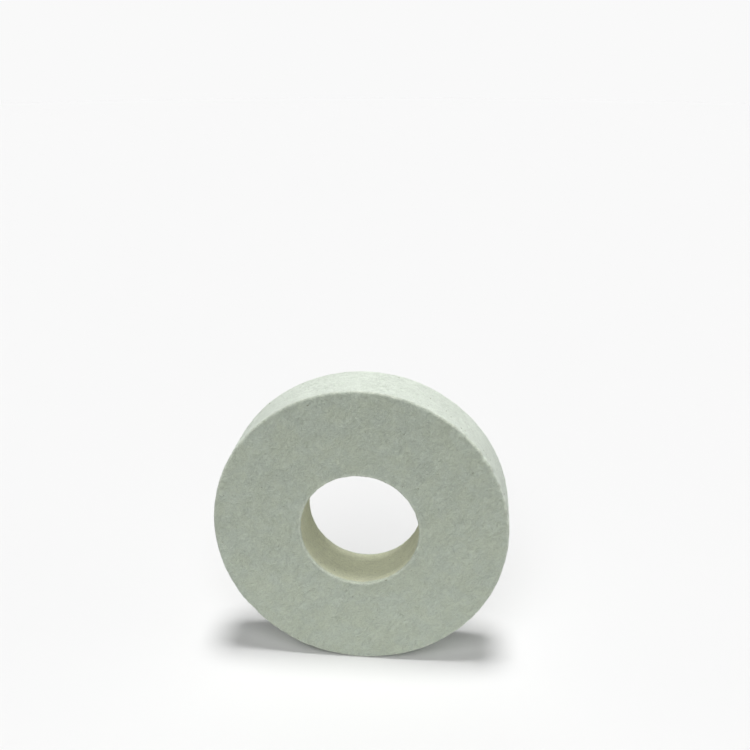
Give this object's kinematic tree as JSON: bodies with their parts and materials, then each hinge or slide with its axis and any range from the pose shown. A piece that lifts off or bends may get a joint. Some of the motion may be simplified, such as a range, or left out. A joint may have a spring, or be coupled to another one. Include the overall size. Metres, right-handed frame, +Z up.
{
  "type": "felt polishing wheel",
  "caption": "Thick ring of hard pressed wool felt with a plain through bore, clamped between flanges on a spindle to polish stone, glass or metal.",
  "frame": {"origin": "the middle of the bore, half-way through the wheel's thickness", "axes": "+Y along the wheel's axis, from the front face to the back face; +Z up, with the wheel standing upright as on a horizontal spindle; +X to the right as seen from the front"},
  "size_m": [0.15, 0.03, 0.15],
  "materials": {
    "wool_felt": "matt, dry pressed wool, fine fibrous grain"
  },
  "bodies": {
    "root": {"felt_ring": "wool_felt"}
  },
  "joints": []
}
